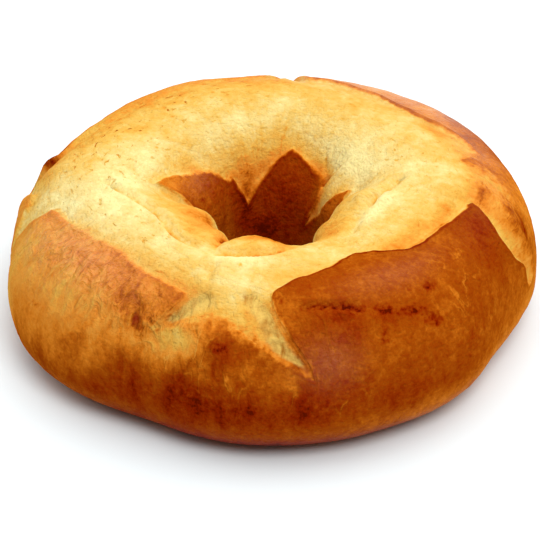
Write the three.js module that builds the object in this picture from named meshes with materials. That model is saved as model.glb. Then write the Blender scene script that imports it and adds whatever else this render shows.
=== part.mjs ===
// A ring brioche: one thick rope of dough closed on itself, slashed round the top before baking, so
// that the browned crust has split into teeth and plates with the paler dough risen between them.
// Millimetres, Z up. The loaf lies on z = 0 with the middle of its outline on the Z axis.
// Angles are in degrees. theta runs round the ring, anticlockwise from +X. phi runs round the rope:
// 0 faces outwards, 90 up, 180 into the hole and -90 down.
import * as THREE from 'three';

// The rope
const RING_RADIUS = 75.5; // from the middle of the hole to the middle of the rope
const ROPE_OUT = 44.0; // the rope's half-width outwards
const ROPE_IN = 45.5; // its half-width towards the hole
const HEIGHT = 74.0;
const GIRTH = 28.0; // height of the rope's widest line
const UNDER_CUT = 2.5; // how far below z = 0 the round underside would reach without its flat foot
const ROUND_UPPER = 2.15; // fullness of the section: 2 is an ellipse, more is squarer
const ROUND_LOWER = 2.5;

// Places where the rope is thicker or thinner: theta, half-width of the place, outwards, upwards
const SWELLS = [
  { theta: 208, width: 17, out: 2.8, up: 0 },
  { theta: 240, width: 14, out: -5, up: 0 },
  { theta: 298, width: 10, out: -1.2, up: 0 },
  { theta: 334, width: 16, out: -6.2, up: 0 },
  { theta: 32, width: 14, out: 1.2, up: 0.4 },
  { theta: 157, width: 10, out: -3, up: 0 },
  { theta: 180, width: 7, out: -1.2, up: 0 },
  { theta: 140, width: 9, out: -2, up: -0.8 },
  { theta: 112, width: 10, out: 0.3, up: 1 },
];

// Lobes and dents in the dough, most of them on the hole's side: place, half-widths round the ring and
// the rope, rise
const LOBES = [
  { theta: 211, phi: 138, round: 18, across: 26, rise: 9 },
  { theta: 205, phi: 120, round: 12, across: 18, rise: -2.5 },
  { theta: 236, phi: 130, round: 9, across: 15, rise: 4.5 },
  { theta: 261, phi: 130, round: 14, across: 14, rise: 5.5 },
  { theta: 338, phi: 142, round: 24, across: 27, rise: 11.5 },
  { theta: 311, phi: 150, round: 11, across: 22, rise: 5 },
  { theta: 148, phi: 152, round: 20, across: 20, rise: 4 },
  { theta: 256, phi: 40, round: 7, across: 13, rise: 2.2 },
];

// The two edges of the crust, as the turning points of each zigzag: theta, phi, and the steepness with
// which the line leaves the point, from 0 for a rounded turn to 1.5 for a pointed one
const ROUNDED = 0;
const STRAIGHT = 1;
const POINTED = 1.5;
const OUTER_EDGE = [
  [281, 16, STRAIGHT], [269.5, 72, STRAIGHT], [300, 92, ROUNDED], [323, 81.5, STRAIGHT],
  [347.5, 75, STRAIGHT], [344, 14, STRAIGHT], [369, 75, ROUNDED], [377, 62, STRAIGHT],
  [401, 78.5, ROUNDED], [440, 66, STRAIGHT], [446, 34, STRAIGHT], [452, 63, STRAIGHT],
  [477, 70, ROUNDED], [505, 64, STRAIGHT], [520.5, 50, STRAIGHT], [524.5, 22, STRAIGHT],
  [531, 17, STRAIGHT], [537, 43, ROUNDED], [545.5, 14, STRAIGHT], [550.5, 62, STRAIGHT],
  [578, 76, ROUNDED], [607, 64, STRAIGHT], [601, 37, STRAIGHT], [617, 56, ROUNDED],
];
const INNER_EDGE = [
  [279, 148, ROUNDED], [310, 182, POINTED], [346, 154, ROUNDED], [369, 172, POINTED],
  [388, 150, ROUNDED], [420, 178, POINTED], [410, 158, STRAIGHT], [411, 148, STRAIGHT],
  [438, 133.5, STRAIGHT], [471, 172, STRAIGHT], [475, 161, STRAIGHT], [482, 150, ROUNDED],
  [505, 136, ROUNDED], [536, 119, STRAIGHT], [533.5, 146, STRAIGHT], [574, 184, POINTED],
  [603, 148, ROUNDED], [618, 172, POINTED],
];

// Where the teeth hang over sideways: place, reach round the ring and the rope, degrees of theta per
// degree of phi
const SLANTS = [
  { theta: 276, phi: 44, round: 13, across: 50, slope: -0.34 },
  { theta: 346, phi: 45, round: 14, across: 60, slope: 0.22 },
  { theta: 243.5, phi: 50, round: 8, across: 38, slope: 0.36 },
  { theta: 409, phi: 165, round: 16, across: 40, slope: 0.8 },
  { theta: 534, phi: 132, round: 12, across: 25, slope: -0.3 },
];

// Flaps where the crust stands off the loaf, and swollen places in the open slashes
const FLAPS = [
  { theta: 162, phi: 41, round: 3.5, across: 9, rise: 2.4 },
  { theta: 175, phi: 33, round: 6, across: 13, rise: 2 },
  { theta: 349, phi: 74, round: 5, across: 8, rise: 1.2 },
  { theta: 272, phi: 70, round: 5, across: 10, rise: 1 },
];
const PUFFS = [
  { theta: 352, phi: 88, round: 7, across: 7, rise: 1.6 },
  { theta: 167, phi: 38, round: 4, across: 16, rise: -1.6 },
  { theta: 285, phi: 45, round: 9, across: 20, rise: -0.6 },
  { theta: 276, phi: 40, round: 5, across: 20, rise: -1.6 },
  { theta: 85, phi: 50, round: 5, across: 20, rise: -2 },
];

// Places where the crust's edge has melted into the dough beside it, and how far
const SOFT_EDGES = [
  { theta: 212, phi: 76, round: 24, across: 22, rise: 4 },
  { theta: 258, phi: 56, round: 9, across: 16, rise: 3 },
  { theta: 265, phi: 44, round: 5, across: 12, rise: 2 },
  { theta: 246, phi: 46, round: 5, across: 8, rise: 1.6 },
  { theta: 130, phi: 64, round: 36, across: 25, rise: 4 },
  { theta: 6, phi: 62, round: 11, across: 30, rise: 5 },
  { theta: 356, phi: 30, round: 7, across: 34, rise: 5 },
  { theta: 175, phi: 40, round: 12, across: 20, rise: 2 },
];

// The relief at the crust's edge
const EDGE_WIDTH = 0.7; // width over which the crust's edge gives way to the dough, where it is crisp
const STEP = 1.1; // the drop from the crust to the dough beside it
const LIP = 0.9; // the crust's curled rim
const LIP_WIDTH = 2.2;
const SCAR_RISE = 2.4; // how far the dough swells in the middle of the open slashes
const SCAR_REACH = 11;
const PLATE_RISE = 1.6; // how far the crust swells away from its edge
const PLATE_REACH = 14;
const RELIEF_FROM = 1.5; // the relief starts this high above the floor, and is whole RELIEF_FADE higher
const RELIEF_FADE = 14;

// The net of faces: columns round the ring and, from the middle of the underside out, over the top and
// back through the hole, bands of rows, closer together towards a band's borders by its crowd
const COLUMNS = 160;
const BANDS = [
  { rows: 2, crowd: 0, onCrust: true }, // the foot's outer half
  { rows: 8, crowd: 0.4, onCrust: true }, // the outer crust
  { rows: 11, crowd: 0.5, onCrust: false }, // the open slashes
  { rows: 7, crowd: 0.4, onCrust: true }, // the crust in the hole
  { rows: 2, crowd: 0, onCrust: true }, // the foot's inner half
];
const CALM_SPAN = 50; // degrees round the ring over which a border's teeth are evened out
const CALM_SAMPLES = 11;
const SLANT_ROUNDS = 60; // rounds of working out which column meets a slanted point
const EDGE_SAMPLES = 1440;

const { cos, sin, asin, abs, sign, exp, max, min, hypot, PI } = Math;
const radians = (degrees) => (degrees * PI) / 180;
const mix = (a, b, share) => a * (1 - share) + b * share;
const signedPower = (value, power) => sign(value) * abs(value) ** power;
const hill = (distance, width) => exp(-((distance / width) ** 2));

// A smooth hill round the ring: 1 at the place, gone a couple of half-widths away
function hillRound(theta, place, width) {
  const apart = ((((theta - place + 180) % 360) + 360) % 360) - 180;
  return hill(apart, width);
}

// How far a column has moved round the ring by the time it reaches phi
function slant(column, phi) {
  let total = 0;
  for (const s of SLANTS) {
    const climb = phi - s.phi;
    total += s.slope * climb * hillRound(column, s.theta, s.round) * hill(climb, s.across);
  }
  return total;
}

// The column that passes through a point of an edge
function columnThrough(theta, phi) {
  let column = theta;
  for (let i = 0; i < SLANT_ROUNDS; i += 1) {
    column = mix(column, theta - slant(column, phi), 0.5);
  }
  return column;
}

// A function that gives an edge's phi at any column, drawn as cubic stretches between its points
function makeEdge(points) {
  const turns = points.map(([theta, phi, leave]) => ({ at: columnThrough(theta, phi), phi, leave }));
  turns.push({ ...turns[0], at: turns[0].at + 360 });
  return (column) => {
    const at = turns[0].at + ((((column - turns[0].at) % 360) + 360) % 360);
    const next = turns.findIndex((turn, i) => i > 0 && turn.at >= at);
    const from = turns[next - 1];
    const to = turns[next];
    const u = (at - from.at) / (to.at - from.at);
    const leaving = (u ** 3 - 2 * u ** 2 + u) * from.leave;
    const arriving = (u ** 3 - u ** 2) * to.leave;
    return mix(from.phi, to.phi, 3 * u ** 2 - 2 * u ** 3 + leaving + arriving);
  };
}

// The smooth rope under the relief: a point of its section and the outward direction there
function ropePoint(theta, phi) {
  const c = cos(radians(phi));
  const s = sin(radians(phi));
  let half = c > 0 ? ROPE_OUT : ROPE_IN;
  let tall = s > 0 ? HEIGHT - GIRTH : GIRTH + UNDER_CUT;
  for (const swell of SWELLS) {
    const share = hillRound(theta, swell.theta, swell.width);
    half += c > 0 ? swell.out * share : 0;
    tall += s > 0 ? swell.up * share : 0;
  }
  const power = s > 0 ? ROUND_UPPER : ROUND_LOWER;
  const across = half * signedPower(c, 2 / power);
  const up = tall * signedPower(s, 2 / power);
  const outwards = (abs(across / half) ** (power - 1) * sign(c)) / half;
  const upwards = (abs(up / tall) ** (power - 1) * sign(s)) / tall;
  const length = hypot(outwards, upwards);
  return {
    radius: RING_RADIUS + across,
    z: GIRTH + up,
    outwards: outwards / length,
    upwards: upwards / length,
  };
}

function toSpace(theta, radius, z) {
  return new THREE.Vector3(radius * cos(radians(theta)), radius * sin(radians(theta)), z);
}

function edgeLine(edge) {
  const line = [];
  for (let i = 0; i < EDGE_SAMPLES; i += 1) {
    const column = (360 * i) / EDGE_SAMPLES;
    const phi = edge(column);
    const theta = column + slant(column, phi);
    const point = ropePoint(theta, phi);
    line.push(toSpace(theta, point.radius, point.z));
  }
  return line;
}

// The sum of a list of smooth hills at one place
function hills(list, theta, phi) {
  return list.reduce((total, { theta: at, phi: middle, round, across, rise }) => (
    total + rise * hillRound(theta, at, round) * hill(phi - middle, across)), 0);
}

// Height of the relief over the smooth rope
function relief(theta, phi, onCrust, toEdge) {
  const crisp = 1 / max(1, EDGE_WIDTH + hills(SOFT_EDGES, theta, phi));
  let height;
  if (onCrust) {
    height = crisp * LIP * hill(toEdge - 1, LIP_WIDTH) - 0.5;
    height += PLATE_RISE * (1 - hill(toEdge, PLATE_REACH));
  } else {
    height = -crisp * STEP * (1 - hill(toEdge, 1)) * hill(toEdge, PLATE_REACH);
    height += SCAR_RISE * (1 - hill(toEdge, SCAR_REACH)) - 0.8;
  }
  return height + hills(LOBES, theta, phi) + hills(onCrust ? FLAPS : PUFFS, theta, phi);
}

// The borders of the bands of rows at one column: its phi there, and the phi of a calm line that keeps
// to the border without its teeth
function bordersAt(column, outerEdge, innerEdge) {
  const footAngle = asin((GIRTH / (GIRTH + UNDER_CUT)) ** (ROUND_LOWER / 2)) * (180 / PI);
  const level = (phi) => ({ phi, calm: phi });
  const toothed = (edge) => {
    let calm = 0;
    for (let i = 0; i < CALM_SAMPLES; i += 1) {
      calm += edge(column + CALM_SPAN * (i / (CALM_SAMPLES - 1) - 0.5)) / CALM_SAMPLES;
    }
    return { phi: edge(column), calm };
  };
  return [level(-90), level(-footAngle), toothed(outerEdge), toothed(innerEdge),
    level(180 + footAngle), level(270)];
}

// The phi of every row of one column. Each row takes less of the teeth the farther it is from them.
function rowsAt(borders) {
  const rows = [];
  BANDS.forEach((band, b) => {
    const from = borders[b];
    const to = borders[b + 1];
    for (let row = 0; row < band.rows; row += 1) {
      const even = row / band.rows;
      const share = even - (band.crowd * sin(2 * PI * even)) / (2 * PI);
      const teeth = (from.phi - from.calm) * (1 - share) ** 2 + (to.phi - to.calm) * share ** 2;
      rows.push({ phi: mix(from.calm, to.calm, share) + teeth, onCrust: band.onCrust });
    }
  });
  return rows;
}

function loafPoints() {
  const outerEdge = makeEdge(OUTER_EDGE);
  const innerEdge = makeEdge(INNER_EDGE);
  const edges = [...edgeLine(outerEdge), ...edgeLine(innerEdge)];
  const points = [];
  for (let i = 0; i < COLUMNS; i += 1) {
    const column = (360 * i) / COLUMNS;
    for (const { phi, onCrust } of rowsAt(bordersAt(column, outerEdge, innerEdge))) {
      const theta = column + slant(column, phi);
      const rope = ropePoint(theta, phi);
      const smooth = toSpace(theta, rope.radius, max(rope.z, 0));
      const toEdge = edges.reduce((best, edge) => min(best, edge.distanceTo(smooth)), Infinity);
      const fade = THREE.MathUtils.smoothstep(rope.z, RELIEF_FROM, RELIEF_FROM + RELIEF_FADE);
      const height = relief(theta, phi, onCrust, toEdge) * fade;
      const z = max(rope.z + rope.upwards * height, 0);
      points.push(toSpace(theta, rope.radius + rope.outwards * height, z));
    }
  }
  return points;
}

function loafGeometry() {
  const points = loafPoints();
  const box = new THREE.Box3().setFromPoints(points);
  const middle = box.getCenter(new THREE.Vector3()).setZ(0);
  const rows = points.length / COLUMNS;
  const faces = [];
  for (let i = 0; i < COLUMNS; i += 1) {
    for (let j = 0; j < rows; j += 1) {
      const here = i * rows + j;
      const along = ((i + 1) % COLUMNS) * rows + j;
      const up = i * rows + ((j + 1) % rows);
      const corner = ((i + 1) % COLUMNS) * rows + ((j + 1) % rows);
      if (points[here].distanceTo(points[corner]) < points[along].distanceTo(points[up])) {
        faces.push(here, along, corner, here, corner, up);
      } else {
        faces.push(here, along, up, along, corner, up);
      }
    }
  }
  const geometry = new THREE.BufferGeometry();
  geometry.setFromPoints(points.map((point) => point.sub(middle)));
  geometry.setIndex(faces);
  geometry.computeVertexNormals();
  return geometry;
}

const crust = new THREE.MeshStandardMaterial({ color: 0xc9812f, roughness: 0.45, metalness: 0 });
const loaf = new THREE.Mesh(loafGeometry(), crust);
loaf.name = 'brioche';

const group = new THREE.Group();
group.add(loaf);

export default group;
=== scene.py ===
"""A ring brioche on a pale floor: an egg-washed crust, slashed in a zigzag, with the paler dough risen
through the slashes."""
import math

import bpy
import numpy as np
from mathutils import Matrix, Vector, kdtree


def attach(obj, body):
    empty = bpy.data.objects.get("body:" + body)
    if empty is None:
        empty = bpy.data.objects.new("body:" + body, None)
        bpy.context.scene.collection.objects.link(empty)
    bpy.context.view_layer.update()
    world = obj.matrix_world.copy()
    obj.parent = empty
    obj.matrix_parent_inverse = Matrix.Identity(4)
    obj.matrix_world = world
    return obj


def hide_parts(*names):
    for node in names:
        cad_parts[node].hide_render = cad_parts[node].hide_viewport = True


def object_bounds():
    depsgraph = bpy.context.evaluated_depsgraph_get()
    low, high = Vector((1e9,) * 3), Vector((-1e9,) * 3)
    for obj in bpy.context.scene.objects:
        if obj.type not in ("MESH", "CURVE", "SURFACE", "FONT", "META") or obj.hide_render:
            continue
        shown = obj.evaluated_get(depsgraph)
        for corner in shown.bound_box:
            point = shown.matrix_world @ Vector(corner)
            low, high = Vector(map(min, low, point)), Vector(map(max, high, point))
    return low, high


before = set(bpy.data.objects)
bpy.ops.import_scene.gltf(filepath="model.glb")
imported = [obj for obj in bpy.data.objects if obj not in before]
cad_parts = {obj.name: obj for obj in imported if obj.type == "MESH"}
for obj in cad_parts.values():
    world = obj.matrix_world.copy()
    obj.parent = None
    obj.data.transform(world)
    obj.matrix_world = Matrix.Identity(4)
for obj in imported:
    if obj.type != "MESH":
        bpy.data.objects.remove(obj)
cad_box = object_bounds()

MM = 0.001

# ---------------------------------------------------------------------------------------------------
# The form of the loaf, in millimetres and degrees. theta runs round the ring, anticlockwise from +X.
# phi runs round the rope of dough: 0 faces outwards, 90 up, 180 into the hole and -90 down.

RING_RADIUS = 75.5  # from the middle of the hole to the middle of the rope
ROPE_OUT = 44.0  # the rope's half-width outwards
ROPE_IN = 45.5  # its half-width towards the hole
HEIGHT = 74.0
GIRTH = 28.0  # height of the rope's widest line
UNDER_CUT = 2.5  # how far below the floor the round underside would reach without its flat foot
ROUND_UPPER = 2.15  # fullness of the section: 2 is an ellipse, more is squarer
ROUND_LOWER = 2.5
FOOT_ANGLE = math.degrees(math.asin((GIRTH / (GIRTH + UNDER_CUT)) ** (ROUND_LOWER / 2)))

# Places where the rope is thicker or thinner: theta, half-width of the place, outwards, upwards
SWELLS = [
    (208, 17, 2.8, 0.0), (240, 14, -5.0, 0.0), (298, 10, -1.2, 0.0), (334, 16, -6.2, 0.0),
    (355, 8, 1.0, 0.0), (32, 14, 1.2, 0.4), (157, 10, -3.0, 0.0), (180, 7, -1.2, 0.0),
    (140, 9, -2.0, -0.8), (112, 10, 0.3, 1.0),
]

# Lobes and dents in the dough, most of them on the hole's side: theta, phi, half-widths round and
# across, rise
LOBES = [
    (211, 138, 18, 26, 9.0), (205, 120, 12, 18, -2.5), (236, 130, 9, 15, 2.5), (261, 130, 14, 14, 5.5),
    (338, 142, 24, 27, 11.5), (311, 150, 11, 22, 5.0), (30, 156, 15, 17, 6.0), (148, 152, 20, 20, 4.0),
    (256, 40, 7, 13, 2.2),
]

# The two edges of the crust, as the turning points of each zigzag: theta, phi, and the steepness with
# which the line leaves the point
ROUNDED, STRAIGHT, POINTED = 0.0, 1.0, 1.5
OUTER_EDGE = [
    (278.6, 20.5, STRAIGHT), (269.5, 73, STRAIGHT), (277, 84.3, STRAIGHT), (301, 96, ROUNDED),
    (319, 82, ROUNDED), (348, 72.5, STRAIGHT), (343.7, 47, STRAIGHT), (347.5, 18, STRAIGHT),
    (348, 2, STRAIGHT), (352, 4, ROUNDED), (364, 56, ROUNDED), (371, 75, ROUNDED), (378, 62, STRAIGHT),
    (401, 78.5, ROUNDED), (440, 66, STRAIGHT), (446, 34, STRAIGHT), (452, 63, STRAIGHT),
    (477, 70, ROUNDED), (505, 64, STRAIGHT), (520.5, 50, STRAIGHT), (524.5, 22, STRAIGHT),
    (531, 17, STRAIGHT), (537, 43, ROUNDED), (545.5, 14, STRAIGHT), (550.5, 62, STRAIGHT),
    (578, 76, ROUNDED), (607, 64, STRAIGHT), (601, 37, STRAIGHT), (617, 56, ROUNDED),
]
INNER_EDGE = [
    (279, 148, ROUNDED), (310, 182, POINTED), (346, 154, ROUNDED), (369, 172, POINTED),
    (379.5, 142, STRAIGHT), (420, 178, POINTED), (410, 158, STRAIGHT), (411, 148, STRAIGHT),
    (438, 133.5, STRAIGHT), (471, 166, STRAIGHT), (476, 158, STRAIGHT), (482, 149, ROUNDED),
    (505, 136, ROUNDED), (536, 119, STRAIGHT), (533.5, 146, STRAIGHT), (574, 184, POINTED),
    (603, 148, ROUNDED), (618, 172, POINTED),
]

# Where the teeth hang over sideways: theta, phi, reach round and across, degrees of theta per degree
# of phi
SLANTS = [
    (276, 44, 13, 50, -0.34), (346, 45, 14, 60, 0.36), (243.5, 50, 8, 38, 0.36), (409, 165, 16, 40, 0.8),
    (534, 132, 12, 25, -0.3),
]
SLANT_ROUNDS = 60  # rounds of working out which column meets a slanted point

# The ragged line of a torn crust: waves round the ring, degrees of phi, phase
RAGS = [(23, 0.4, 1.0), (61, 0.25, 2.1), (127, 0.12, 0.7)]

# The relief at the crust's edge
STEP = 1.1  # the drop from the crust to the dough beside it
STEP_WIDTH = 1.0
LIP = 0.9  # the crust's curled rim
LIP_FROM_EDGE = 1.0
LIP_WIDTH = 2.2
CRUST_SUNK = 0.5  # how far the crust's edge lies under the smooth rope
SLASH_SUNK = 0.8  # and how far the dough beside it
SCAR_RISE = 2.4  # how far the dough swells in the middle of the open slashes
SCAR_REACH = 11
PLATE_RISE = 1.6  # how far the crust swells away from its edge
PLATE_REACH = 14
RELIEF_FROM = 1.5  # the relief starts this high above the floor, and is whole RELIEF_FADE higher
RELIEF_FADE = 14

# Creases where lobes of dough meet: points (theta, phi), depth, half-width
CREASES = [
    ([(176, 88), (182, 90), (188, 94), (194, 100), (203, 107), (213, 108), (222, 105), (231, 101),
      (239, 100), (247, 99)], 3.4, 1.4),
    ([(243, 98), (248.5, 99.3), (252, 100.5), (257, 102), (262, 104), (267, 106.5), (272, 110),
      (277, 115), (282, 121)], 4.6, 2.6),
    ([(247, 99), (245.5, 108), (245, 120), (246, 134), (248, 150)], 2.2, 2.6),
    ([(6, 107), (358, 111.5), (350, 115.5), (341, 118), (333, 119.8), (325, 120.3)], 3.2, 1.5),
    ([(345, 117), (338.5, 118.8), (331, 120.2)], 5.0, 1.8),
    ([(325, 120.3), (318, 119.5), (311, 116), (303, 112.5)], 1.6, 2.2),
    ([(252.5, 91), (250.8, 87), (250.3, 83), (251, 79), (253.5, 75)], 1.6, 1.8),
    ([(274, 60.5), (280, 62.6), (285, 61), (289, 58.4), (293, 54.5)], 2.0, 1.4),
]
CREASE_RUN_OUT = 0.25  # the share of its length over which a crease fades at each end
CREASE_SAMPLES = 200
SOFTENING = [0.25, 0.5, 0.25]  # how each sample of a crease is evened out with its neighbours
BANK = 0.3  # the swelling beside a crease, as a share of its depth
BANK_PLACE = 2.4  # its distance and half-width, in half-widths of the crease
BANK_WIDTH = 1.6
# painted shade: the creases are painted darker inside, wholly so from this depth
SHADED_CREASE_DEPTH = 4.0  # creases as deep as this are dark inside

# Tears at the bottom of the deepest slashes, where the crumb shows: points (theta, phi), depth,
# half-width
TEARS = [
    ([(262, 76), (264, 70), (266.2, 63.5), (268.2, 57), (270, 46), (272.2, 36), (275, 28), (278, 21)],
     2.4, 4.4),
    ([(243.5, 42), (246, 49), (248.4, 56), (251, 62.5), (255, 68.5)], 2.2, 4.6),
]
TEAR_MARGIN = 3.2  # they close this near the crust's edge
TEAR_RUN_OUT = 0.15  # the share of its length over which a tear closes at each end

# Drawn-out threads of dough that run together at one point over the hole: theta, phi of each start
GATHERS = [(38, 124), (43, 120), (48, 117), (54, 119), (60, 123)]
GATHERED_AT = (50, 150)
GATHER_DEPTH = 1.4
GATHER_WIDTH = 0.8
GATHER_SHADE = 0.55  # how dark they are inside, compared with a deep crease
GATHER_START = 0.35  # the share of their length over which they begin

# Flaps of crust that stand off the loaf, and swollen places: theta, phi, half-widths, rise
FLAPS = [(162, 41, 3.5, 9, 2.4), (175, 33, 6, 13, 2.0), (349, 74, 5, 8, 1.2), (272, 70, 5, 10, 1.0)]
PUFFS = [(352, 88, 7, 7, 1.6), (167, 38, 4, 16, -1.6), (285, 45, 9, 20, -0.6), (276, 40, 5, 20, -0.8),
         (85, 50, 5, 20, -2.0)]

# The net of faces: columns round the ring and, from the middle of the underside out, over the top and
# back through the hole, bands of rows: how many, how much closer they lie towards the band's borders,
# and whether the band is crust
COLUMNS = 560
BANDS = [(5, 0.0, True), (62, 0.25, True), (60, 0.5, False), (38, 0.4, True), (5, 0.0, True)]
CALM_SPAN = 50  # degrees round the ring over which a border's teeth are evened out
CALM_SAMPLES = 11
LINE_SAMPLES = 4000


def hill(apart, width):
    """A smooth hill: 1 where it stands, gone a couple of half-widths away."""
    return np.exp(-((apart / width) ** 2))


def hill_round(theta, place, width):
    """The same round the ring, where 360 degrees is 0 again."""
    return hill((theta - place + 180) % 360 - 180, width)


def mix(a, b, share):
    return a * (1 - share) + b * share


def smooth_step(value, low, high):
    share = np.clip((value - low) / (high - low), 0, 1)
    return share * share * (3 - 2 * share)


def slant(column, phi):
    """How far a column has moved round the ring by the time it reaches phi."""
    total = np.zeros(np.broadcast(column, phi).shape)
    for theta, middle, round_, across, slope in SLANTS:
        climb = phi - middle
        total += slope * climb * hill_round(column, theta, round_) * hill(climb, across)
    return total


def edge_phi(points, column):
    """An edge's phi at the columns, drawn as cubic stretches between its points."""
    theta, phi, leave = np.array(points).T
    at = theta.copy()
    for _ in range(SLANT_ROUNDS):
        at = mix(at, theta - slant(at, phi), 0.5)
    at = np.append(at, at[0] + 360)
    phi = np.append(phi, phi[0])
    leave = np.append(leave, leave[0])
    where = at[0] + (column - at[0]) % 360
    i = np.clip(np.searchsorted(at, where, side="right") - 1, 0, len(theta) - 1)
    u = (where - at[i]) / (at[i + 1] - at[i])
    bend = (u**3 - 2 * u**2 + u) * leave[i] + (u**3 - u**2) * leave[i + 1]
    line = mix(phi[i], phi[i + 1], 3 * u**2 - 2 * u**3 + bend)
    for waves, height, phase in RAGS:
        line = line + height * np.sin(np.radians(column) * waves + phase)
    return line


def rope(theta, phi):
    """The smooth rope under the relief: radius, z, and the outward direction (outwards, upwards)."""
    c = np.cos(np.radians(phi))
    s = np.sin(np.radians(phi))
    half = np.where(c > 0, ROPE_OUT, ROPE_IN)
    tall = np.where(s > 0, HEIGHT - GIRTH, GIRTH + UNDER_CUT)
    for place, width, out, up in SWELLS:
        share = hill_round(theta, place, width)
        half = half + np.where(c > 0, out * share, 0)
        tall = tall + np.where(s > 0, up * share, 0)
    power = np.where(s > 0, ROUND_UPPER, ROUND_LOWER)
    across = half * np.sign(c) * np.abs(c) ** (2 / power)
    up = tall * np.sign(s) * np.abs(s) ** (2 / power)
    outwards = np.abs(across / half) ** (power - 1) * np.sign(c) / half
    upwards = np.abs(up / tall) ** (power - 1) * np.sign(s) / tall
    length = np.hypot(outwards, upwards)
    return RING_RADIUS + across, GIRTH + up, outwards / length, upwards / length


def to_space(theta, radius, z):
    return np.stack([radius * np.cos(np.radians(theta)), radius * np.sin(np.radians(theta)), z], -1)


def on_rope(theta, phi):
    radius, z, _, _ = rope(theta, phi)
    return to_space(theta, radius, z)


def distance_to(points, line):
    """Each point's distance to the nearest sample of the line, and that sample's share of its length."""
    tree = kdtree.KDTree(len(line))
    for i, sample in enumerate(line):
        tree.insert(sample, i)
    tree.balance()
    found = np.array([tree.find(point)[1:] for point in points.reshape(-1, 3)])
    shape = points.shape[:-1]
    return found[:, 1].reshape(shape), found[:, 0].reshape(shape) / (len(line) - 1)


def net():
    """theta, phi and whether it is crust, for every row of every column."""
    column = np.arange(COLUMNS) * 360 / COLUMNS
    level = np.ones(COLUMNS)

    def toothed(edge):
        shifts = CALM_SPAN * (np.arange(CALM_SAMPLES) / (CALM_SAMPLES - 1) - 0.5)
        return edge_phi(edge, column), np.mean([edge_phi(edge, column + s) for s in shifts], axis=0)

    borders = [(-90 * level, -90 * level), (-FOOT_ANGLE * level, -FOOT_ANGLE * level),
               toothed(OUTER_EDGE), toothed(INNER_EDGE),
               ((180 + FOOT_ANGLE) * level, (180 + FOOT_ANGLE) * level), (270 * level, 270 * level)]
    phis, crusts = [], []
    for (rows, crowd, on_crust), near, far in zip(BANDS, borders, borders[1:]):
        for row in range(rows):
            share = row / rows - crowd * math.sin(2 * math.pi * row / rows) / (2 * math.pi)
            teeth = (near[0] - near[1]) * (1 - share) ** 2 + (far[0] - far[1]) * share**2
            phis.append(mix(near[1], far[1], share) + teeth)
            crusts.append(np.full(COLUMNS, on_crust))
    phi = np.array(phis).T
    return column[:, None] + slant(column[:, None], phi), phi, np.array(crusts).T


def edge_line(points):
    column = np.arange(LINE_SAMPLES) * 360 / LINE_SAMPLES
    phi = edge_phi(points, column)
    return on_rope(column + slant(column, phi), phi)


def crease_line(points):
    """A crease as a smooth run of samples through its points."""
    theta, phi = np.array(points, dtype=float).T
    theta = np.degrees(np.unwrap(np.radians(theta)))
    steps = np.arange(len(points))
    fine = np.linspace(0, len(points) - 1, CREASE_SAMPLES)
    theta = np.convolve(np.pad(np.interp(fine, steps, theta), 1, mode="edge"), SOFTENING, "valid")
    phi = np.convolve(np.pad(np.interp(fine, steps, phi), 1, mode="edge"), SOFTENING, "valid")
    return on_rope(theta, phi)


def loaf_form():
    """The loaf's points in millimetres, and the fields that its relief and finish follow."""
    theta, phi, on_crust = net()
    radius, z, outwards, upwards = rope(theta, phi)
    smooth = to_space(theta, radius, np.maximum(z, 0))
    to_edge, _ = distance_to(smooth, np.concatenate([edge_line(OUTER_EDGE), edge_line(INNER_EDGE)]))

    fields = {name: patches(theta, phi, *given) for name, given in FIELDS.items()}
    crisp = 1 / fields["edge_blur"].clip(1)
    crust_height = crisp * LIP * hill(to_edge - LIP_FROM_EDGE, LIP_WIDTH) - CRUST_SUNK
    crust_height = crust_height + PLATE_RISE * (1 - hill(to_edge, PLATE_REACH))
    slash_height = -crisp * STEP * (1 - hill(to_edge, STEP_WIDTH)) * hill(to_edge, PLATE_REACH)
    slash_height = slash_height + SCAR_RISE * (1 - hill(to_edge, SCAR_REACH)) - SLASH_SUNK
    height = np.where(on_crust, crust_height, slash_height)
    for places, where in ((LOBES, 1), (FLAPS, on_crust), (PUFFS, ~on_crust)):
        for place, middle, round_, across, rise in places:
            height = height + rise * hill_round(theta, place, round_) * hill(phi - middle, across) * where

    # how much painted shade each place gets inside the creases and gathers
    fold = np.zeros(theta.shape)
    for start in GATHERS:
        apart, along = distance_to(smooth, crease_line([start, GATHERED_AT]))
        dip = hill(apart, GATHER_WIDTH) * smooth_step(along, 0, GATHER_START)
        height = height - GATHER_DEPTH * dip
        fold = np.maximum(fold, dip * GATHER_SHADE)
    for points, depth, width in CREASES:
        apart, along = distance_to(smooth, crease_line(points))
        ends = smooth_step(np.minimum(along, 1 - along), 0, CREASE_RUN_OUT)
        dip = hill(apart, width) * ends
        bank = BANK * depth * hill(apart - BANK_PLACE * width, BANK_WIDTH * width) * ends
        height = height - depth * dip + bank
        fold = np.maximum(fold, dip * min(1, depth / SHADED_CREASE_DEPTH))

    torn = np.zeros(theta.shape)
    for points, depth, width in TEARS:
        apart, along = distance_to(smooth, crease_line(points))
        open_ = hill(apart, width) * smooth_step(np.minimum(along, 1 - along), 0, TEAR_RUN_OUT)
        open_ = open_ * smooth_step(to_edge, 0, TEAR_MARGIN) * ~on_crust
        height = height - depth * open_
        torn = np.maximum(torn, open_)

    fade = smooth_step(z, RELIEF_FROM, RELIEF_FROM + RELIEF_FADE)
    height = height * fade
    z = np.maximum(z + upwards * height, 0)
    points = to_space(theta, radius + outwards * height, z)
    fields.update(to_edge=np.where(on_crust, to_edge, -to_edge), fold=fold, torn=torn, fade=fade)
    around = to_space(theta, RING_RADIUS, np.radians(phi) * ROPE_OUT)
    return points, fields, around


# ---------------------------------------------------------------------------------------------------
# What the finish follows. Each field has its value everywhere, and the patches that add to it: theta,
# phi, half-widths round and across, amount.

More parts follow.
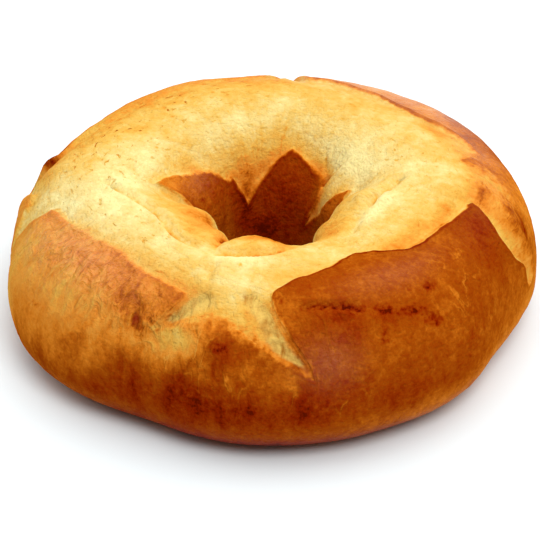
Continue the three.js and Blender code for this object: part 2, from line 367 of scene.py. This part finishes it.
FIELDS = {
    # how far the crust is baked, from 0 for pale gold to 1 for nearly burnt; a few patches below paint
    # light and shade into it, as marked
    "crust_bake_and_painted_light": (0.81, [
        # (207, 68) is paler partly from baking and partly as a painted sheen on the left-hand plate's
        # shoulder
        (207, 68, 28, 20, -0.19), (204, 34, 26, 22, -0.25), (182, 16, 9, 40, -0.16),
        (194, 10, 5, 26, -0.14), (213, 62, 8, 7, 0.06), (217, 8, 7, 12, -0.05), (224, -8, 14, 10, 0.04),
        (230, 36, 16, 16, -0.12), (245, -12, 20, 16, 0.05), (197, 0, 8, 12, -0.14),
        (243, 50, 7, 8, -0.06), (236, 46, 8, 10, 0.05), (244, 30, 5, 16, -0.12), (249, 37, 5, 10, -0.33),
        (260, 60, 12, 12, -0.12), (258, 4, 22, 14, 0.16), (272, 20, 7, 10, -0.08), (258, 34, 6, 9, 0.10),
        (284, 46, 8, 14, 0.06), (290, 13, 14, 12, 0.07), (316, 16, 12, 14, 0.04), (238, 62, 6, 8, -0.08),
        (287, 56, 10, 8, 0.06), (302, 46, 8, 6, 0.07), (300, 0, 30, 8, 0.07), (346, 62, 7, 12, 0.05),
        (338, 44, 8, 18, 0.04), (338, 50, 7, 20, 0.05), (354, 18, 10, 26, -0.02),
        # the pale patches under the rope, here and at (80, -40), are partly less baked and partly a painted
        # reflection of the white floor
        (350, -10, 30, 14, -0.08), (318, -24, 26, 12, -0.05), (264, -34, 36, 12, 0.20),
        (8, 50, 12, 30, -0.10), (8, 26, 10, 14, -0.10), (28, 74, 10, 8, -0.10), (45, 66, 20, 12, -0.10),
        (62, 62, 24, 18, -0.10), (86, 54, 16, 8, -0.18), (120, 62, 34, 18, -0.25),
        # (80, 168) darkens the bottom of the hole: painted shade
        (148, 54, 12, 8, -0.30), (160, 42, 5, 7, 0.45), (164, 34, 10, 30, -0.27), (80, 168, 34, 36, 0.13),
        (118, 168, 10, 22, 0.10), (100, 184, 14, 10, 0.10), (140, 150, 16, 14, 0.05),
        (166, 124, 26, 13, -0.16), (44, 156, 9, 14, -0.20), (30, 152, 16, 14, -0.09),
        (80, -40, 140, 40, -0.11),
    ]),
    # the same for the dough risen in the slashes; the browner patches low on the hole's walls, phi 120 to
    # 165, stand also for painted shade and warm bounce light there
    "slash_bake_and_painted_light": (0.24, [
        (190, 95, 22, 18, -0.22), (30, 128, 22, 17, -0.24), (328, 114, 18, 5, -0.26),
        (258, 97, 12, 6, -0.24), (250, 58, 4, 8, -0.16), (257, 80, 10, 7, -0.14), (264, 72, 5, 6, -0.10),
        (47, 132, 11, 9, -0.16), (25, 150, 7, 8, 0.30), (145, 142, 8, 8, 0.14), (100, 118, 46, 10, -0.08),
        (105, 78, 52, 18, 0.22), (14, 70, 16, 8, 0.20), (353, 34, 8, 34, 0.50), (359, 30, 7, 34, 0.17),
        (353, 68, 8, 9, 0.20), (3, 104, 14, 8, -0.12), (0, 86, 9, 12, -0.06), (5, 50, 7, 12, 0.05),
        (28, 78, 10, 6, 0.14), (322, 88, 16, 7, 0.12), (95, 147, 50, 14, 0.36), (108, 162, 12, 12, 0.24),
        (60, 148, 9, 9, 0.36), (56, 162, 8, 12, 0.45), (90, 102, 9, 6, -0.08), (86, 126, 5, 14, 0.16),
        (163, 52, 14, 18, 0.24), (163.5, 42, 3.5, 8, 0.45), (148, 134, 8, 7, 0.24),
        (174, 130, 8, 9, 0.20), (160, 110, 12, 8, -0.12), (193, 48, 6, 34, -0.16),
        (180, 68, 9, 14, -0.11), (76, 139, 6, 6, 0.16), (110, 162, 10, 6, 0.12), (212, 74, 12, 6, 0.14),
        (138, 70, 16, 8, 0.15), (98, 66, 10, 8, 0.14), (28, 80, 10, 6, 0.10), (231, 96, 10, 7, -0.12),
        (222, 134, 14, 8, 0.24), (228, 124, 34, 13, 0.27), (262, 108, 10, 8, 0.13),
        (272, 120, 14, 8, 0.22), (266, 125, 14, 7, 0.28), (266, 115, 12, 5, -0.16),
        (245, 118, 6, 8, 0.16), (306, 130, 16, 16, 0.27), (335, 136, 18, 7, 0.18),
        (319, 118, 10, 6, -0.10), (306, 88, 26, 6, 0.25), (338, 82, 10, 6, 0.26), (275, 38, 12, 28, 0.46),
        (277, 22, 6, 14, 0.14), (266, 62, 6, 8, 0.16), (242, 54, 12, 14, 0.36), (247, 60, 6, 8, 0.14),
        (245, 40, 5, 8, 0.20), (236, 72, 18, 10, 0.16), (212, 105, 12, 4, -0.12), (286, 113, 5, 5, -0.16),
    ]),
    # how wide the change of colour is at the crust's edge, in millimetres
    "edge_blur": (0.5, [
        (212, 76, 24, 22, 3.0), (258, 56, 9, 18, 6.0), (267.5, 40, 5, 20, 4.5), (246, 46, 5, 8, 1.6),
        (279, 44, 5, 26, 2.4), (130, 64, 36, 25, 4.0), (6, 62, 11, 30, 5.0), (20, 69, 7, 8, 3.0),
        (358, 30, 7, 40, 5.0), (175, 40, 12, 20, 2.0), (142, 146, 24, 14, 2.2), (48, 154, 12, 14, 2.0),
        (88, 134, 20, 20, 0.7), (300, 92, 12, 8, 1.0),
    ]),
    # the thin browner line along a crisp edge of crust
    "rimmed": (0.3, [
        (312, 88, 26, 12, 1.1), (212, 76, 26, 25, -0.3), (130, 64, 36, 25, -0.3), (0, 50, 10, 40, -0.3),
    ]),
    # the thin line on the dough beside it: a painted highlight where it is positive, a painted shadow where
    # it is negative, as beside the top edge of the right-hand plate
    "rim_highlight_and_shadow": (0.05, [(344, 40, 5, 40, 0.6), (332, 82, 16, 8, -0.6)]),
    # rough dark marks; those along the groove on the right-hand plate (278.5 to 287.5) and in the crease at
    # (338, 118.8) are painted shade
    "mark_and_groove_shade": (0.0, [
        (278.5, 62.6, 2.5, 2, 0.8), (283, 61.8, 2.5, 2, 1.0), (287.5, 59.4, 2.5, 2, 0.9),
        (291, 56, 2.4, 3, 0.8), (295, 53.5, 2, 3, 0.6), (298, 50.5, 2.2, 3, 0.9),
        (301.5, 47.5, 2, 3, 0.6), (304.5, 45, 2.2, 3, 0.9), (307, 40, 2, 3, 0.7),
        (309, 35.5, 2.2, 4, 1.1), (305.7, 59, 1.4, 2.5, 0.8), (311.5, 54, 2.2, 4, 1.0),
        (295.3, 36, 2.4, 5, 0.7), (236.7, 38.3, 1.6, 4, 1.4), (238.3, 34.5, 1.4, 3, 1.2),
        (241, 42, 2, 3, 0.7), (269.2, 48, 2, 3, 0.8), (270.5, 41.5, 2, 3, 1.0), (272.2, 37, 2, 3, 1.0),
        (268.4, 55, 1.6, 3, 0.7), (338, 118.8, 5, 1.8, 0.7), (259.2, 90.6, 1.2, 1.6, 0.7),
        (263.4, 75, 1.4, 2, 0.7), (266.4, 64.5, 1.4, 3, 0.8), (272, 68, 2, 3, 0.8), (209, 21, 2, 3, 0.6),
        (265, 4, 3, 4, 0.5), (257.3, 38.5, 2, 4, 0.7), (259, 34, 1.6, 3, 0.5), (160, 150, 3, 4, 0.8),
        (300, -8, 2, 3, 0.5), (13, 68.5, 3.5, 2.4, 0.4), (8.6, 51.5, 1.6, 2, 0.5),
        (83.5, 123, 1.8, 5, 0.7), (106, 133, 2, 4, 0.5), (99, 134.6, 1.6, 1.6, 0.8),
        (131, 89, 1.1, 1.5, 0.9), (132.5, 98, 1.1, 1.5, 0.9), (123.5, 91, 1.3, 1.2, 0.9),
        (111.5, 89.5, 1.2, 1.3, 0.9), (153, 109, 1.1, 1.5, 0.8),
    ]),
    # crust wrinkled in fine squiggles
    "puckered": (0.1, [
        (214, 50, 26, 26, 1.1), (240, 36, 12, 18, 0.9), (262, 26, 14, 20, 0.3), (280, 6, 60, 30, 0.2),
        (286, 46, 10, 16, 0.5),
    ]),
    # crust with fine pale lines where it stretched
    "veined": (0.0, [
        (232, 34, 16, 18, 0.9), (252, 30, 10, 20, 0.7), (268, 14, 14, 14, 0.6), (284, 8, 9, 12, 1.0),
        (322, 44, 9, 34, 0.8),
    ]),
    # crust browned in tongues that run down the loaf's side
    "streaky": (0.35, [
        (225, 6, 40, 30, 0.95), (55, 62, 40, 14, 0.6), (262, 30, 20, 24, 0.3), (80, 165, 44, 40, -0.3),
    ]),
    # dough drawn out in fine lines
    "drawn": (0.25, [(85, 125, 46, 22, 0.9), (215, 125, 22, 16, 0.6), (335, 125, 30, 20, 0.4)]),
    # glazed most thickly where the brush left the egg, on the shoulders
    "glazed": (0.0, [
        (212, 62, 26, 22, 1.0), (305, 70, 14, 9, 0.25), (50, 64, 42, 16, 0.9), (150, 138, 20, 9, 0.4),
        (282, 28, 6, 12, 0.5), (300, -30, 60, 12, 0.4),
    ]),
    # dough with brown flecks
    "freckled": (0.2, [(150, 86, 46, 22, 1.0), (215, 88, 20, 16, 0.5), (20, 100, 24, 30, 0.3)]),
}


def patches(theta, phi, everywhere, places):
    total = np.full(theta.shape, float(everywhere))
    for place, middle, round_, across, amount in places:
        total += amount * hill_round(theta, place, round_) * hill(phi - middle, across)
    return total


# ---------------------------------------------------------------------------------------------------
# Making the mesh


def add(tree, kind, settings=None, links=None):
    """Adds a node with its settings, and its inputs set to a value or joined to a node's output."""
    node = tree.nodes.new(kind)
    for name, value in (settings or {}).items():
        setattr(node, name, value)
    for name, value in (links or {}).items():
        if isinstance(value, bpy.types.Node):
            value = value.outputs[0]
        if isinstance(value, bpy.types.NodeSocket):
            tree.links.new(value, node.inputs[name])
        else:
            node.inputs[name].default_value = value
    return node


SMOOTHLY = {"interpolation_type": "SMOOTHSTEP"}  # how everything that fades in does so


def colour(code):
    """An sRGB hex colour as linear red, green, blue and alpha."""
    parts = [int(code[i:i + 2], 16) / 255 for i in (1, 3, 5)]
    return [p / 12.92 if p <= 0.04045 else ((p + 0.055) / 1.055) ** 2.4 for p in parts] + [1.0]


def loaf_mesh():
    points, fields, around = loaf_form()
    columns, rows = points.shape[:2]
    i, j = np.meshgrid(np.arange(columns), np.arange(rows), indexing="ij")
    here = i * rows + j
    along = (i + 1) % columns * rows + j
    up = i * rows + (j + 1) % rows
    corner = (i + 1) % columns * rows + (j + 1) % rows
    faces = np.stack([here, along, corner, up], -1).reshape(-1, 4)
    mesh = bpy.data.meshes.new("brioche_loaf")
    mesh.from_pydata((points * MM).reshape(-1, 3).tolist(), [], faces.tolist())
    for name, field in fields.items():
        mesh.attributes.new(name, "FLOAT", "POINT").data.foreach_set("value", field.ravel())
    # kept for each face's corners, so that the last row under the loaf goes on past 270 degrees instead
    # of running all the way back to -90
    last = around[:, :1] + np.array([0, 0, 2 * math.pi * ROPE_OUT])
    on = np.concatenate([around, last], axis=1)
    beside = np.roll(on, -1, axis=0)
    corners = np.stack([on[:, :-1], beside[:, :-1], beside[:, 1:], on[:, 1:]], axis=2)
    mesh.attributes.new("around", "FLOAT_VECTOR", "CORNER").data.foreach_set("vector", corners.ravel())
    mesh.polygons.foreach_set("use_smooth", np.ones(len(faces), dtype=bool))
    mesh.update()
    return mesh


# The fine relief: height and spacing of its lumps in millimetres, how far it is squeezed across the
# rope (less than 1 draws it out that way), and the field that it follows
RELIEF = {
    "Lumps": (1.6, 17.0, 1.0, "fade"),
    "Dimples": (0.8, 6.5, 1.0, "fade"),
    "Wrinkles": (4.0, 5.0, 0.6, "puckered"),
    "Threads": (0.3, 3.4, 0.16, "drawn"),
    "Crumb": (2.4, 3.4, 1.0, "torn"),
    "Marks": (-1.2, 60.0, 1.0, "mark_and_groove_shade"),
}
RELIEF_DETAIL = 3.0
NOISE_MIDDLE = 0.5  # the value about which noise swings


def dough_relief(finish):
    """A tree that raises the fine relief of baked dough, and gives the loaf its finish."""
    tree = bpy.data.node_groups.new("dough relief", "GeometryNodeTree")
    tree.interface.new_socket("Loaf", in_out="INPUT", socket_type="NodeSocketGeometry")
    for name, (high, spacing, _, _) in RELIEF.items():
        for size, value in ((" Height", high), (" Spacing", spacing)):
            socket = tree.interface.new_socket(name + size, in_out="INPUT", socket_type="NodeSocketFloat")
            socket.default_value = value
    tree.interface.new_socket("Loaf", in_out="OUTPUT", socket_type="NodeSocketGeometry")
    given = add(tree, "NodeGroupInput")
    around = add(tree, "GeometryNodeInputNamedAttribute", {"data_type": "FLOAT_VECTOR"},
                 {"Name": "around"})
    total = 0.0
    for name, (_, _, drawn, field) in RELIEF.items():
        spread = add(tree, "ShaderNodeVectorMath", {"operation": "MULTIPLY"}, {0: around, 1: (1, 1, drawn)})
        scale = add(tree, "ShaderNodeMath", {"operation": "DIVIDE"},
                    {0: 1.0, 1: given.outputs[name + " Spacing"]})
        waves = add(tree, "ShaderNodeTexNoise", {},
                    {"Vector": spread, "Scale": scale, "Detail": RELIEF_DETAIL})
        level = add(tree, "ShaderNodeMath", {"operation": "SUBTRACT"}, {0: waves, 1: NOISE_MIDDLE})
        high = add(tree, "ShaderNodeMath", {"operation": "MULTIPLY"},
                   {0: level, 1: given.outputs[name + " Height"]})
        follows = add(tree, "GeometryNodeInputNamedAttribute", {}, {"Name": field})
        total = add(tree, "ShaderNodeMath", {"operation": "MULTIPLY_ADD"}, {0: high, 1: follows, 2: total})
    fade = add(tree, "GeometryNodeInputNamedAttribute", {}, {"Name": "fade"})
    whole = add(tree, "ShaderNodeMath", {"operation": "MULTIPLY"}, {0: total, 1: fade})
    metres = add(tree, "ShaderNodeMath", {"operation": "MULTIPLY"}, {0: whole, 1: MM})
    offset = add(tree, "ShaderNodeVectorMath", {"operation": "SCALE"},
                 {0: add(tree, "GeometryNodeInputNormal"), "Scale": metres})
    moved = add(tree, "GeometryNodeSetPosition", {},
                {"Geometry": given.outputs["Loaf"], "Offset": offset})
    single = add(tree, "GeometryNodeRealizeInstances", {}, {0: moved})
    finished = add(tree, "GeometryNodeSetMaterial", {}, {"Geometry": single, "Material": finish})
    add(tree, "NodeGroupOutput", {}, {0: finished})
    return tree


def settled(loaf):
    """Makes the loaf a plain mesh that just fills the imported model's box, and says how far it moved."""
    ready = loaf.evaluated_get(bpy.context.evaluated_depsgraph_get())
    mesh = bpy.data.meshes.new_from_object(ready)
    co = np.empty(len(mesh.vertices) * 3)
    mesh.vertices.foreach_get("co", co)
    co = co.reshape(-1, 3)
    low, high = np.array(cad_box[0]), np.array(cad_box[1])
    size = co.max(0) - co.min(0)
    scale = (high - low) / size
    shift = low - co.min(0) * scale
    mesh.vertices.foreach_set("co", (co * scale + shift).ravel())
    mesh.update()
    loaf.modifiers.clear()
    loaf.data = mesh
    return shift


def brioche_loaf():
    finish = egg_washed_crust()
    loaf = bpy.data.objects.new("brioche_loaf", loaf_mesh())
    bpy.context.scene.collection.objects.link(loaf)
    relief = loaf.modifiers.new("dough relief", "NODES")
    relief.node_group = dough_relief(finish)
    shift = settled(loaf)
    return loaf, shift


# ---------------------------------------------------------------------------------------------------
# Finishes

# Colours of the browning: how far it is baked, and the colour there
BROWNING = [
    (0.00, "#efde98"), (0.125, "#e6cd83"), (0.27, "#e1ba63"), (0.375, "#dfad4e"), (0.465, "#dba040"),
    (0.565, "#dd9034"), (0.67, "#d37a1f"), (0.745, "#b96010"), (0.82, "#9d4606"), (0.895, "#8f3203"),
    (0.965, "#7c1b00"), (1.00, "#5a1100"),
]
# the second colour is painted shade in the slits of the torn crumb, and the colour of its dark marks
CRUMB_AND_SLIT_SHADE_COLOURS = ["#dcb55c", "#a86c22"]  # its pale threads and the slits between them

# The grains of colour: which coordinates each reads, its spacing in millimetres, detail and swirl
GRAINS = {
    "mottle": ("place", 24.0, 5, 0.0),
    "blotch": ("place", 7.0, 5, 0.4),
    "speckle": ("place", 2.4, 4, 0.0),
    "fine": ("place", 1.1, 3, 0.0),
    "rag": ("place", 5.0, 4, 0.0),
    "wrinkle": ("across", 3.4, 4, 1.2),
    "slit": ("across", 3.2, 6, 0.6),
    "tongue": ("across", 10.0, 5, 0.5),
    "vein": ("across", 6.0, 6, 0.4),
    "thread": ("threads", 1.7, 3, 0.2),
    "scale": ("along", 3.2, 4, 0.6),
    "fleck": ("along", 4.6, 3, 0.5),
    "here": ("place", 9.0, 3, 0.0),
}
# The coordinates: the place itself, and how far the ones that follow the rope are squeezed across it,
# so that what they carry is drawn out that way, or the other way round the ring
DRAWN_OUT = {"across": 0.34, "threads": 0.13, "along": 2.2}

# Thin lines where a grain crosses its middle, and spots where it is high: the grain, the level at
# which the line or spot starts and the one at which it is whole, and the field that it follows
LINES = {
    "veins": ("vein", 0.045, 0.0, "veined"),
    "slits": ("slit", 0.08, 0.0, "torn"),
}
SPOTS = {"flecks": ("fleck", 0.13, 0.21, "freckled"), "threads": ("thread", 0.0, 0.25, "drawn")}
# Grains that show only in places: the grain, and the field that it follows
PLACED = {"streaks": ("tongue", "streaky"), "wrinkles": ("wrinkle", "puckered")}
# Lines along the crust's edge: how far inside it in millimetres, and the field that they follow. The brown
# rim is browning; the line on the dough is painted highlight and shadow.
RIMS = {"brown rim": (1.2, "rimmed"), "rim highlight and shadow": (-1.0, "rim_highlight_and_shadow")}

# What is added to the browning, and how much
# what follows the creases, in the crust and the slashes, is painted shade inside them
LAYERS = {
    # the crust's wrinkles are painted paler on their ridges and browner in their hollows: painted highlight
    # and painted shade
    "crust": {"mottle": 0.08, "blotch": 0.13, "speckle": 0.16, "fine": 0.1, "streaks": 0.36,
              "wrinkles": -0.36, "veins": -0.13, "brown rim": 0.14, "marks": 0.19, "folds": 0.12},
    # the slash's line beside the crust's edge is painted highlight and shadow
    "slash": {"mottle": 0.35, "blotch": 0.44, "speckle": 0.18, "scale": 0.22, "threads": 0.09,
              "flecks": 0.42, "rim highlight and shadow": -0.3, "marks": 0.45, "folds": 0.45},
}
# What is added to the finest relief, and how much
HEIGHTS = {"fine": 0.5, "speckle": 0.8, "blotch": 0.5, "scale": 0.3, "wrinkles": 2.9, "veins": 0.4,
           "flecks": -0.5, "slits": -0.5, "marks": -0.4}
BUMP_HEIGHT = 1.6  # of that relief, in millimetres
BUMP_STRENGTH = 0.8

# Where each thing fades in: input 1 is the level at which it starts, 2 the one at which it is whole
SHOWS = {
    "unbroken": {1: -0.06, 2: 0.1}, "mark_and_groove_shade": {1: 0.25, 2: 1.3}, "fold": {1: 0.3, 2: 1.0},
    "rim": {1: 1.3, 2: 0.2}, "slit": {1: -0.08, 2: 0.24}, "tear": {1: 0.15, 2: 0.9},
}
# How far a grain frays the outline of each thing
RAGGED_MARK = 1.3
RAGGED_CREASE_SHADE = 1.2
RAGGED_EDGE = 2.2
SPECKLED_EDGE = 1.2
RAGGED_TEAR = 1.6
SLITTED_MARK = 0.08  # how far the marks darken the torn crumb
DULL_SLASH = 0.62  # roughness of the pale dough, of the crust, and what the blotches add
DULL_CRUST = 0.45
DULL_BLOTCH = 0.3


def egg_washed_crust():
    """Enriched dough brushed with egg and baked: glossy amber to red-brown plates with soft wrinkles,
    and between them a satin, cream to golden crust drawn out in fine lines, torn open at the deepest."""
    material = bpy.data.materials.new("egg-washed brioche crust")
    material.use_nodes = True
    tree = material.node_tree
    tree.nodes.clear()

    field = {}
    for name in ["to_edge", "fold", "torn", *FIELDS]:
        field[name] = add(tree, "ShaderNodeAttribute", {"attribute_name": name}).outputs["Fac"]
    place = add(tree, "ShaderNodeTexCoord").outputs["Object"]
    in_mm = add(tree, "ShaderNodeVectorMath", {"operation": "SCALE"}, {0: place, "Scale": 1 / MM})
    reads = {"place": in_mm}
    around = add(tree, "ShaderNodeAttribute", {"attribute_name": "around"}).outputs["Vector"]
    for name, squeeze in DRAWN_OUT.items():
        reads[name] = add(tree, "ShaderNodeVectorMath", {"operation": "MULTIPLY"},
                          {0: around, 1: (1, 1, squeeze)})
    layer = {}
    for name, (reading, spacing, detail, swirl) in GRAINS.items():
        waves = add(tree, "ShaderNodeTexNoise", {}, {"Vector": reads[reading], "Scale": 1 / spacing,
                                                     "Detail": detail, "Distortion": swirl})
        layer[name] = add(tree, "ShaderNodeMath", {"operation": "SUBTRACT"}, {0: waves, 1: NOISE_MIDDLE})

    # lines, broken up here and there, and spots
    here = add(tree, "ShaderNodeMapRange", SMOOTHLY, {0: layer["here"], **SHOWS["unbroken"]})
    for name, (grain, start, whole, follows) in LINES.items():
        level = add(tree, "ShaderNodeMath", {"operation": "ABSOLUTE"}, {0: layer[grain]})
        line = add(tree, "ShaderNodeMapRange", SMOOTHLY, {0: level, 1: start, 2: whole})
        broken = add(tree, "ShaderNodeMath", {"operation": "MULTIPLY"}, {0: line, 1: here})
        layer[name] = add(tree, "ShaderNodeMath", {"operation": "MULTIPLY"}, {0: broken, 1: field[follows]})
    for name, (grain, start, whole, follows) in SPOTS.items():
        spot = add(tree, "ShaderNodeMapRange", {}, {0: layer[grain], 1: start, 2: whole})
        layer[name] = add(tree, "ShaderNodeMath", {"operation": "MULTIPLY"}, {0: spot, 1: field[follows]})
    for name, (grain, follows) in PLACED.items():
        layer[name] = add(tree, "ShaderNodeMath", {"operation": "MULTIPLY"},
                          {0: layer[grain], 1: field[follows]})
    # the dark marks, with the painted shade along two grooves among them
    rough_mark_and_groove_shade = add(tree, "ShaderNodeMath", {"operation": "MULTIPLY_ADD"},
                     {0: layer["speckle"], 1: RAGGED_MARK, 2: field["mark_and_groove_shade"]})
    layer["marks"] = add(tree, "ShaderNodeMapRange", SMOOTHLY, {0: rough_mark_and_groove_shade, **SHOWS["mark_and_groove_shade"]})
    # the painted shade inside the creases, frayed by a grain
    rough_fold = add(tree, "ShaderNodeMath", {"operation": "MULTIPLY_ADD"},
                     {0: layer["rag"], 1: RAGGED_CREASE_SHADE, 2: field["fold"]})
    layer["folds"] = add(tree, "ShaderNodeMapRange", SMOOTHLY, {0: rough_fold, **SHOWS["fold"]})

    # where it is crust, with a ragged change of colour as wide as the blur, and the lines along it
    blur = field["edge_blur"]
    speckled = add(tree, "ShaderNodeMath", {"operation": "MULTIPLY"},
                   {0: layer["speckle"], 1: SPECKLED_EDGE})
    ragged = add(tree, "ShaderNodeMath", {"operation": "MULTIPLY_ADD"},
                 {0: layer["rag"], 1: RAGGED_EDGE, 2: speckled})
    edge = add(tree, "ShaderNodeMath", {"operation": "MULTIPLY_ADD"},
               {0: ragged, 1: blur, 2: field["to_edge"]})
    outside = add(tree, "ShaderNodeMath", {"operation": "MULTIPLY"}, {0: blur, 1: -1.0})
    crust = add(tree, "ShaderNodeMapRange", SMOOTHLY, {0: edge, 1: outside, 2: blur})
    for name, (depth, follows) in RIMS.items():
        apart = add(tree, "ShaderNodeMath", {"operation": "SUBTRACT"}, {0: edge, 1: depth})
        level = add(tree, "ShaderNodeMath", {"operation": "ABSOLUTE"}, {0: apart})
        line = add(tree, "ShaderNodeMapRange", SMOOTHLY, {0: level, **SHOWS["rim"]})
        layer[name] = add(tree, "ShaderNodeMath", {"operation": "MULTIPLY"}, {0: line, 1: field[follows]})

    # how far each place is baked, with painted light and shade added in places, and the colour that gives
    bakes = {}
    for name, amounts in LAYERS.items():
        bakes[name] = field[name + "_bake_and_painted_light"]
        for grain, amount in amounts.items():
            bakes[name] = add(tree, "ShaderNodeMath", {"operation": "MULTIPLY_ADD"},
                              {0: layer[grain], 1: amount, 2: bakes[name]})
    bake = add(tree, "ShaderNodeMix", {"data_type": "FLOAT"},
               {0: crust, 2: bakes["slash"], 3: bakes["crust"]})
    baked = add(tree, "ShaderNodeValToRGB", {}, {0: bake})
    elements = baked.color_ramp.elements
    while len(elements) < len(BROWNING):
        elements.new(0.5)
    for element, (at, code) in zip(elements, BROWNING):
        element.position = at
        element.color = colour(code)

    # the crumb, where the dough is torn, with painted shade in its slits
    hollow = add(tree, "ShaderNodeMath", {"operation": "MULTIPLY_ADD"},
                 {0: layer["marks"], 1: SLITTED_MARK, 2: layer["slit"]})
    slit = add(tree, "ShaderNodeMapRange", SMOOTHLY, {0: hollow, **SHOWS["slit"]})
    crumb = add(tree, "ShaderNodeMix", {"data_type": "RGBA"},
                {0: slit, 6: colour(CRUMB_AND_SLIT_SHADE_COLOURS[0]), 7: colour(CRUMB_AND_SLIT_SHADE_COLOURS[1])})
    speckled_tear = add(tree, "ShaderNodeMath", {"operation": "MULTIPLY"},
                        {0: layer["speckle"], 1: field["torn"]})
    rough_tear = add(tree, "ShaderNodeMath", {"operation": "MULTIPLY_ADD"},
                     {0: speckled_tear, 1: RAGGED_TEAR, 2: field["torn"]})
    tear = add(tree, "ShaderNodeMapRange", SMOOTHLY, {0: rough_tear, **SHOWS["tear"]})
    tint = add(tree, "ShaderNodeMix", {"data_type": "RGBA"},
               {0: tear, 6: baked, 7: crumb.outputs["Result"]})

    # gloss and the finest relief
    dull = add(tree, "ShaderNodeMapRange", {}, {0: crust, 3: DULL_SLASH, 4: DULL_CRUST})
    rough = add(tree, "ShaderNodeMath", {"operation": "MULTIPLY_ADD"},
                {0: layer["blotch"], 1: DULL_BLOTCH, 2: dull})
    relief = 0.0
    for grain, amount in HEIGHTS.items():
        relief = add(tree, "ShaderNodeMath", {"operation": "MULTIPLY_ADD"},
                     {0: layer[grain], 1: amount, 2: relief})
    bump = add(tree, "ShaderNodeBump", {},
               {"Strength": BUMP_STRENGTH, "Distance": BUMP_HEIGHT * MM, "Height": relief})

    skin = add(tree, "ShaderNodeBsdfPrincipled", {},
               {"Base Color": tint.outputs["Result"], "Roughness": rough, "Normal": bump,
                "IOR": 1.3, "Specular IOR Level": 0.0,
                "Coat Weight": field["glazed"], "Coat Roughness": 0.28, "Coat IOR": 1.45,
                "Coat Normal": bump, "Subsurface Weight": 0.06, "Subsurface Scale": 3 * MM,
                "Subsurface Radius": (1.0, 0.45, 0.2)})
    add(tree, "ShaderNodeOutputMaterial", {}, {"Surface": skin})
    return material


def white_table():
    """Matt white laminate, plain and pale."""
    material = bpy.data.materials.new("matt white table")
    material.use_nodes = True
    skin = material.node_tree.nodes["Principled BSDF"]
    skin.inputs["Base Color"].default_value = colour("#e9f1f3")
    skin.inputs["Roughness"].default_value = 0.8
    return material


# ---------------------------------------------------------------------------------------------------
# Floor, light and camera

FLOOR_HALF = 3.0
CAMERA_ELEVATION = 34.0
CAMERA_DISTANCE = 1.5
CAMERA_LENS = 217.5
AIM_ABOVE = 0.0187  # how far over the middle of the ring the camera aims, along its own upright
AIM_LEFT = 0.0012  # and how far to the left of it
TENT_AXIS = (0.1, 0.4, 0.9)  # the brightest direction of the tent
TENT_LOW = 0.05
TENT_HIGH = 1.8
SOFTBOX_PLACE = (0.25, -0.9, 1.2)
SOFTBOX_SIZE = 0.7
SOFTBOX_WATTS = 10


def floor():
    mesh = bpy.data.meshes.new("floor")
    s = FLOOR_HALF
    mesh.from_pydata([(-s, -s, 0), (s, -s, 0), (s, s, 0), (-s, s, 0)], [], [(0, 1, 2, 3)])
    mesh.materials.append(white_table())
    plane = bpy.data.objects.new("floor", mesh)
    bpy.context.scene.collection.objects.link(plane)


def softbox():
    lamp = bpy.data.lights.new("softbox", "AREA")
    lamp.shape = "DISK"
    lamp.size = SOFTBOX_SIZE
    lamp.energy = SOFTBOX_WATTS
    light = bpy.data.objects.new("softbox", lamp)
    light.location = SOFTBOX_PLACE
    light.rotation_euler = Vector(SOFTBOX_PLACE).to_track_quat("Z", "Y").to_euler()
    bpy.context.scene.collection.objects.link(light)


def white_tent():
    """A white tent, brightest overhead and behind the loaf, and dim towards the camera."""
    world = bpy.data.worlds.new("white tent")
    world.use_nodes = True
    tree = world.node_tree
    towards = add(tree, "ShaderNodeTexCoord").outputs["Generated"]
    facing = add(tree, "ShaderNodeVectorMath", {"operation": "DOT_PRODUCT"},
                 {0: towards, 1: Vector(TENT_AXIS).normalized()})
    strength = add(tree, "ShaderNodeMapRange", SMOOTHLY,
                   {0: facing.outputs["Value"], 1: 0.0, 2: 1.0, 3: TENT_LOW, 4: TENT_HIGH})
    tree.links.new(strength.outputs[0], tree.nodes["Background"].inputs["Strength"])
    tree.nodes["Background"].inputs["Color"].default_value = colour("#ffffff")
    bpy.context.scene.world = world


def camera(middle):
    rise = math.radians(CAMERA_ELEVATION)
    back = Vector((0, -math.cos(rise), math.sin(rise)))
    upright = Vector((0, math.sin(rise), math.cos(rise)))
    data = bpy.data.cameras.new("camera")
    data.lens = CAMERA_LENS
    eye = bpy.data.objects.new("camera", data)
    eye.location = Vector(middle) + upright * AIM_ABOVE + back * CAMERA_DISTANCE
    eye.rotation_euler = (-back).to_track_quat("-Z", "Y").to_euler()
    bpy.context.scene.collection.objects.link(eye)
    bpy.context.scene.camera = eye


loaf, middle = brioche_loaf()
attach(loaf, "root")
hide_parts("brioche")
floor()
white_tent()
softbox()
camera((middle[0] - AIM_LEFT, middle[1], 0))
bpy.context.scene.view_settings.view_transform = "Standard"
